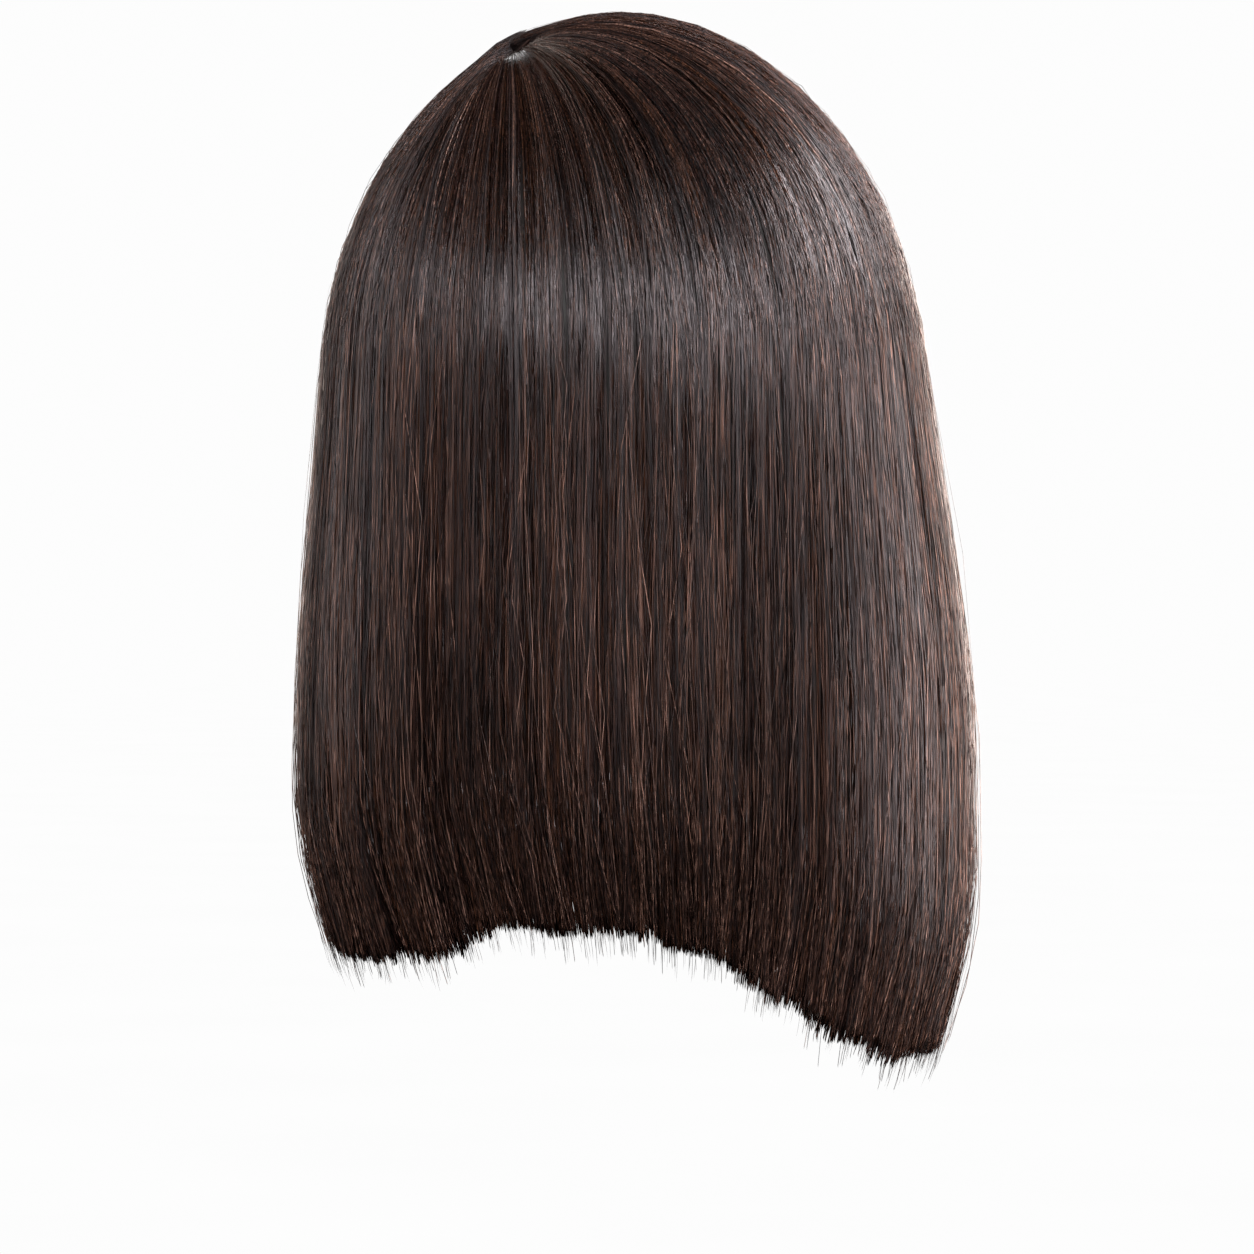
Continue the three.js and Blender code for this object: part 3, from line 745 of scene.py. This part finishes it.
def strands(section, first, rows, options):
    """Strands of one section. rows holds the rows that each strand passes through, and options what differs
    from a plain strand."""
    kind = {**PLAIN_STRAND, **options}
    count = len(rows)
    width = section["to"] - section["from"]
    spread = rng.uniform(-EDGE_SPREAD, 1 + EDGE_SPREAD, count)
    share = kind.get("shares", spread)
    height, tip = lock_form(locks_of(section, first), share)
    reach = reach_of(rows)
    loose = smooth(rows, 0.05, 0.8)
    end = smooth(rows, 1.7, 2.0) ** 2

    big, big_middle = clumps_of(share, int(width * MM_PER_DEGREE / BIG_CLUMP["size"]))
    small, small_middle = clumps_of(share, int(width * MM_PER_DEGREE / SMALL_CLUMP["size"]))
    pull = kind["hold"] * pull_of(BIG_CLUMP, reach, rows, big)
    sideways = mix(share[:, None], big_middle, np.clip(pull, 0, BIG_CLUMP["most"]))
    pull = kind["hold"] * pull_of(SMALL_CLUMP, reach, rows, small) + SMALL_CLUMP["end_pull"] * end
    sideways = mix(sideways, small_middle, np.clip(pull, 0, SMALL_CLUMP["most"]))

    drift = waves(reach, kind["wander"], WANDER_WAVES)
    drift += waves(reach, BIG_CLUMP["drift"], BIG_CLUMP["drift_waves"], big) + waves(
        reach, SMALL_CLUMP["drift"], SMALL_CLUMP["drift_waves"], small
    )
    tilt = rng.normal(0, kind["tilt"], (count, 1)) + by_clump(SMALL_CLUMP["tilt"], small)[:, None]
    splay = rng.normal(0, SPLAY, (count, 1)) + by_clump(SMALL_CLUMP["splay"], small)[:, None]
    drift = drift * loose + tilt * (rows - 1) * smooth(rows, 0.9, 1.4) + splay * end
    azimuth = section["from"] + sideways * width + drift / MM_PER_DEGREE
    swept = smooth(rows, *SWEEP["rows"]) ** 2 * smooth(azimuth, *SWEEP["begin"])
    swept = swept * (1 - smooth(azimuth, *SWEEP["end"]))
    azimuth = azimuth + SWEEP["turn"] * swept
    azimuth = np.clip(azimuth, -FACE_EDGE - EDGE_SLACK, FACE_EDGE + EDGE_SLACK)

    start = part_start(azimuth, rng.uniform(LEAST_START, MOST_START, count)[:, None])
    tips = TIP_FOLLOW * tip + by_clump(SMALL_CLUMP["tip"], small) + kind["tips"]
    tips = tips[:, None] - face_trim(azimuth)
    p, normal = outer_surface(azimuth, rows, tips, start)
    lift = rng.uniform(*kind["lift"], (count, 1)) + waves(reach, LIFT_DRIFT, LIFT_WAVES)
    lift += loose * (
        waves(reach, BIG_CLUMP["lift"], BIG_CLUMP["lift_waves"], big)
        + waves(reach, SMALL_CLUMP["lift"], SMALL_CLUMP["lift_waves"], small)
    )
    depth = part_depth(distance_from_part(p, azimuth), azimuth)
    lift += height[:, None] * smooth(rows, 0, RIDGE_RISE) + depth
    lift += rng.normal(0, END_SCATTER, (count, 1)) * end + kind["rise"] * smooth(rows, 0.9, 2.0)
    lift += kind["under"] * (1 - smooth(rows - rows[:, :1], 0, 0.18))
    if "float" in kind:
        lift += loose * np.abs(waves(reach, kind["float"], FLOAT_WAVES))
    p = p + normal * lift[..., None]
    if "depth" in kind:
        p = sink_to_inside(p, azimuth, rows, start, kind["depth"])

    place = np.linspace(0, 1, rows.shape[1])
    taper = np.minimum(1, place * TAPER["root"]) * (1 - TAPER["loss"] * smooth(place, *TAPER["between"]))
    radius = kind["thick"] * rng.uniform(0.7, 1.3, (count, 1)) * taper
    radius = radius * np.where(kind["tips"] > LONG_TIP, TAPER["long_tip"], 1)[:, None]
    tone = rng.normal(TONE["middle"], TONE["spread"], count) + by_clump(SMALL_CLUMP["tone"], small)
    tone = tone + kind["tone"]
    # Lighter strands: partly lighter hairs, partly painted highlights
    light = rng.random(count) < TONE["light_and_highlight_share"]
    tone = np.where(light, tone + rng.uniform(*TONE["lighter"], count), tone)
    warm = rng.normal(WARM["middle"], WARM["spread"], count) + by_clump(BIG_CLUMP["warm"], big)
    begin = np.clip(rows[:, :1] / 2, 0, 1)
    marks = {
        "tone": np.clip(tone, 0, 1),
        "warm": np.clip(warm, 0, 1),
        "gloss": np.clip(rng.uniform(0, 1, count) + by_clump(SMALL_CLUMP["gloss"], small), 0, 1),
        "along": np.concatenate([begin, np.ones_like(begin)], 1),
    }
    obj = strand_object("strands", p, normal, radius, marks)
    obj.data.materials.append(HAIR)
    return obj


def join(name, objects):
    """The objects as one object of the given name."""
    for o in bpy.context.selected_objects:
        o.select_set(False)
    for o in objects:
        o.select_set(True)
    bpy.context.view_layer.objects.active = objects[0]
    bpy.ops.object.join()
    objects[0].name = name
    return objects[0]


TIPS = {"usual": 3.2, "spread": 2.0, "short_share": 0.1, "short": (2, 50), "long_share": 0.05, "longest": 12}


def tip_lengths(count):
    """How far each strand runs past the hem: most end close to it, and some well above or a little below."""
    past = TIPS["usual"] - np.abs(rng.normal(0, TIPS["spread"], count))
    short = rng.random(count) < TIPS["short_share"]
    past[short] = -rng.uniform(*TIPS["short"], short.sum())
    longer = rng.random(count) < TIPS["long_share"]
    past[longer] = rng.uniform(LONG_TIP, TIPS["longest"], longer.sum())
    return past


def rows_from_part(count):
    """Rows of strands that run from the part to the hem, with bends at places that differ between strands."""
    step = np.arange(len(LONG_ROWS))
    place = step + rng.uniform(-0.5, 0.5, (count, 1)) * (step > 0) * (step < step[-1] - 1)
    return np.interp(place, step, LONG_ROWS)


def rows_from(low, high, count, steps=SHORT_STEPS):
    """Rows of strands that start anywhere between two rows and run to the hem."""
    place = np.append(np.linspace(0, 1, steps - 1) * (1 - BLUNT_END), 1)
    return mix(rng.uniform(low, high, (count, 1)), 2.0, place[None])


STRAND_COUNTS = {
    "long": 850, "short": 1200, "inner": 280, "ends": 900, "strays": 180, "flyaways": 34, "face_edge": 200,
}
END_STEPS = 5


def section_strands(section, first, scale):
    """All strands of a section. The kinds are drawn in turn, so their order fixes the random numbers."""
    counts = {kind: int(count * scale) for kind, count in STRAND_COUNTS.items()}
    made = []

    def add(rows, options):
        made.append(strands(section, first, rows, options))

    # Long strands, from the part to the hem
    count = counts["long"]
    add(rows_from_part(count), {"tips": tip_lengths(count)})

    # Short strands, which start under the long ones and run to the hem
    count = counts["short"]
    add(rows_from(0.12, 1.25, count), {"tips": tip_lengths(count), "under": -1.6, "lift": (-1.7, 0.0)})

    # Strands on the inner side and within the hair's thickness, a little darker in tone: painted shade within
    # the hair
    count = counts["inner"]
    depth = np.where(rng.random(count) < 0.5, 1.03, rng.uniform(0.1, 1.0, count))
    add(rows_from(0.9, 1.2, count), {
        "tips": tip_lengths(count) - 1, "lift": (-1.2, 0.0), "tone": -0.08, "depth": depth,
    })

    # Ends that fill the hem
    count = counts["ends"]
    depth = np.where(rng.random(count) < 0.35, 0, rng.uniform(0, 1.0, count))
    add(rows_from(1.62, 1.8, count, END_STEPS), {
        "tips": tip_lengths(count), "lift": (-1.7, -0.3), "under": -0.6, "depth": depth, "thick": 0.2,
        "hold": 0.4,
    })

    # Strays, which lie over the others and cross them
    count = counts["strays"]
    add(rows_from(0.2, 1.6, count), {
        "tips": tip_lengths(count), "lift": (0.2, 0.9), "tilt": 4.5, "wander": 2.2, "hold": 0.0,
        "thick": 0.12, "tone": 0.4, "under": -2.0, "rise": np.abs(rng.normal(0, 1.2, (count, 1))),
    })

    # Flyaways, which float over the rest
    count = counts["flyaways"]
    add(rows_from_part(count), {
        "tips": tip_lengths(count), "lift": (-0.6, 0.8), "wander": 1.4, "hold": 0.0, "float": 1.3,
        "thick": 0.07, "tone": 0.4,
    })

    # Strands through the hair's thickness at the edge by the face
    if FACE_EDGE in (-section["from"], section["to"]):
        count = counts["face_edge"]
        close = np.abs(rng.normal(0, 0.03, count))
        shares = 1 - close if section["to"] == FACE_EDGE else close
        add(rows_from_part(count), {
            "tips": tip_lengths(count), "shares": np.clip(shares, 0, 1), "hold": 0.2,
            "depth": rng.uniform(0, 1, count),
        })
    return join(section["name"] + "_strands", made)


# A section has strands by its width in degrees
STRANDS_LEAST, STRANDS_PER_DEGREE = 0.6, 0.0075
first_lock = 0
for section in SECTIONS:
    width = section["to"] - section["from"]
    base = base_layer(section, first_lock)
    hair = section_strands(section, first_lock, STRANDS_LEAST + STRANDS_PER_DEGREE * width)
    for piece in (base, hair):
        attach(piece, "root")
        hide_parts(section["name"])
    first_lock += section["locks"]


# Cap and lace
def cap_point(dome, azimuth, share):
    """A point of the cap at a share of the way from the crown to its rim."""
    quarter = math.pi / 2
    rim = from_table(RIM, azimuth)
    power = 2 / dome["squareness"]
    short = np.arccos(np.clip(1 - np.minimum(rim, 1), 0, 1) ** (1 / power))
    turn = np.where(rim < 1, short, quarter + rim - 1) * share
    below = np.maximum(0, turn - quarter)
    out = np.sin(np.minimum(turn, quarter)) ** power
    rise = np.cos(np.minimum(turn, quarter)) ** power
    narrowing = NAPE_NARROWING * np.maximum(0, outward(azimuth)[1]) ** 2 * below**2
    x, y = foot_of(dome, azimuth)
    size = out * (1 - narrowing)
    return np.stack([x * size, y * size, mix(dome["foot"], dome["top"], rise) - below * HEAD["height"]], -1)


CAP_TURNS, CAP_ROWS, CAP_TOP_HOLE = 96, 44, 0.02
CAP_CENTRE = np.array([0, 0, -80.0])
CAP_MM_PER_DEGREE, CAP_REACH = 1.45, 150
WEFT = {"spacing": 8.0, "height": 0.35, "width": 0.12, "highest": -25}
BINDING = {"start": 0.94, "rise": 0.01, "height": 0.4}
CAP_THREAD, CAP_GAP = (0.022, 0.015, 0.012), (0.005, 0.004, 0.0035)


def cap_net():
    """The cap's net, with rows of weft sewn round its inside and a bound rim."""
    turn = np.arange(CAP_TURNS) / CAP_TURNS * 360 - 180
    share = np.linspace(CAP_TOP_HOLE, 1, CAP_ROWS)
    azimuth, way = np.meshgrid(turn, share)
    outside = cap_point(CAP_DOME, azimuth, way)
    inside = cap_point(head_dome(0), azimuth, way)
    level = inside[..., 2]
    weft = WEFT["height"] * np.exp(-((((level / WEFT["spacing"]) % 1) - 0.5) / WEFT["width"]) ** 2)
    binding = BINDING["height"] * smooth(way, BINDING["start"], BINDING["start"] + BINDING["rise"])
    raised = np.where(way > BINDING["start"], binding, weft * (level < WEFT["highest"]))
    inside = inside - unit(inside - CAP_CENTRE) * raised[..., None]
    count = CAP_ROWS * CAP_TURNS
    tops = np.array([[0, 0, CAP_DOME["top"]], [0, 0, 0.0]])
    points = np.concatenate([outside.reshape(-1, 3), inside.reshape(-1, 3), tops])
    at = np.arange(count).reshape(CAP_ROWS, CAP_TURNS)
    after = np.roll(at, -1, axis=1)
    body = np.stack([at[:-1], at[1:], after[1:], after[:-1]], -1).reshape(-1, 4)
    rim = np.stack([at[-1], at[-1] + count, after[-1] + count, after[-1]], -1)
    outer_fan = np.stack([at[0], after[0], np.full(CAP_TURNS, 2 * count)], -1)
    inner_fan = np.stack([after[0] + count, at[0] + count, np.full(CAP_TURNS, 2 * count + 1)], -1)
    obj, _ = mesh_object("wig_cap_net", points, [body, body[:, ::-1] + count, rim, outer_fan, inner_fan])
    flow = np.stack([azimuth * CAP_MM_PER_DEGREE, way * CAP_REACH, 0 * way], -1).reshape(-1, 3)
    attribute(obj, "flow", np.concatenate([flow, flow, np.zeros((2, 3))]))
    obj.data.materials.append(net_material("cap_net", CAP_THREAD, CAP_GAP, 2.2, 0.0003))
    return obj


LACE_WIDTH, LACE_REACH, LACE_LENGTH = 3.0, 0.96, 110
LACE_UNDER, LACE_OVER = 0.3, 1.3
LACE_COLUMNS, LACE_ROWS = 9, 80
LACE_THREAD, LACE_GAP = (0.2, 0.11, 0.065), (0.09, 0.05, 0.03)


def lace():
    """The strip of lace along the part."""
    along = unit(HAIRLINE - WHORL)
    across = np.array([along[1], -along[0]])
    share, way = np.meshgrid(np.linspace(-0.5, 0.5, LACE_COLUMNS), np.linspace(0, LACE_REACH, LACE_ROWS))
    middle = mix(WHORL, HAIRLINE, way[..., None])
    plan = middle + across * (share * LACE_WIDTH)[..., None]

    def sheet(height):
        return over_plan(head_dome(CAP_WALL + height), plan[..., 0], plan[..., 1])

    obj = shell("parting_lace_net", sheet(LACE_OVER), sheet(LACE_UNDER))
    flow = np.stack([share * LACE_WIDTH, way * LACE_LENGTH, 0 * way], -1).reshape(-1, 3)
    attribute(obj, "flow", np.concatenate([flow, flow]))
    obj.data.materials.append(net_material("parting_lace", LACE_THREAD, LACE_GAP, 0.9, 0.0002))
    return obj


for piece, nodes, slot in (
    (cap_net(), ("wig_cap", "nape_band"), "cap_fabric"),
    (lace(), ("parting_lace",), "lace"),
):
    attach(piece, "root")
    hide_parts(*nodes)


# Studio, in metres
FLOOR_LEVEL, FLOOR_RADIUS = -0.55, 30
FLOOR_TONES = [(0.3, grey(0.975)), (0.7, grey(0.985))]
BACKDROP = 0.98
CENTRE = Vector((0, 0, -0.14))
LIGHT_DISTANCE = 2.3
WHITE, WARM_WHITE = (1, 1, 1), (1, 0.88, 0.78)
LIGHTS = [
    {"name": "key", "azimuth": 0, "rise": 22, "size": (1.2, 0.8), "power": 54, "colour": WHITE},
    {"name": "key_right", "azimuth": 35, "rise": 26, "size": (1.0, 0.9), "power": 34, "colour": WHITE},
    {"name": "right_low", "azimuth": 78, "rise": 0, "size": (1.0, 1.2), "power": 34, "colour": WHITE},
    {"name": "right_high", "azimuth": 75, "rise": 38, "size": (1.0, 1.0), "power": 66, "colour": WHITE},
    {"name": "right_rim", "azimuth": 118, "rise": 12, "size": (1.0, 1.4), "power": 95, "colour": WARM_WHITE},
    {"name": "left", "azimuth": -80, "rise": 10, "size": (1.0, 1.4), "power": 14, "colour": WHITE},
    {"name": "left_rim", "azimuth": -118, "rise": 12, "size": (1.0, 1.4), "power": 42, "colour": WARM_WHITE},
    {"name": "front", "azimuth": 180, "rise": 22, "size": (1.6, 1.2), "power": 34, "colour": WHITE},
]


def floor():
    """A pale floor that gives its own light and throws none on the wig."""
    material, nodes, links, shader = new_material("floor")
    place = nodes.new("ShaderNodeTexCoord").outputs["Object"]
    tint = ramp(nodes, links, noise(nodes, links, place, 3, 4), FLOOR_TONES)
    links.new(tint, shader.inputs["Emission Color"])
    shader.inputs["Emission Strength"].default_value = 1
    shader.inputs["Base Color"].default_value = (0, 0, 0, 1)
    shader.inputs["Roughness"].default_value = 0.9
    shader.inputs["Specular IOR Level"].default_value = 0.0
    bpy.ops.mesh.primitive_circle_add(
        vertices=96, radius=FLOOR_RADIUS, fill_type="NGON", location=(0, 0, FLOOR_LEVEL)
    )
    obj = bpy.context.object
    obj.name = "floor"
    obj.visible_diffuse = False
    obj.visible_glossy = False
    obj.visible_shadow = False
    obj.data.materials.append(material)


def soft_box(box):
    """A soft box that faces the wig. Azimuth 0 is behind the wig and grows towards the wearer's right."""
    data = bpy.data.lights.new(box["name"], "AREA")
    data.color = box["colour"]
    data.shape = "RECTANGLE"
    data.size, data.size_y = box["size"]
    data.energy = box["power"]
    light = bpy.data.objects.new(box["name"], data)
    scene.collection.objects.link(light)
    turn, rise = math.radians(box["azimuth"]), math.radians(box["rise"])
    way = Vector((-math.sin(turn) * math.cos(rise), math.cos(turn) * math.cos(rise), math.sin(rise)))
    light.location = CENTRE + way * LIGHT_DISTANCE
    light.rotation_euler = way.to_track_quat("Z", "Y").to_euler()


def backdrop():
    """A white world that the camera alone sees."""
    world = bpy.data.worlds.new("studio")
    scene.world = world
    world.use_nodes = True
    nodes, links = world.node_tree.nodes, world.node_tree.links
    background = nodes["Background"]
    background.inputs["Color"].default_value = (1, 1, 1, 1)
    camera_ray = nodes.new("ShaderNodeLightPath").outputs["Is Camera Ray"]
    seen = maths(nodes, links, "MULTIPLY", camera_ray, BACKDROP)
    links.new(seen, background.inputs["Strength"])


floor()
for box in LIGHTS:
    soft_box(box)
backdrop()
scene.view_settings.view_transform = "Standard"
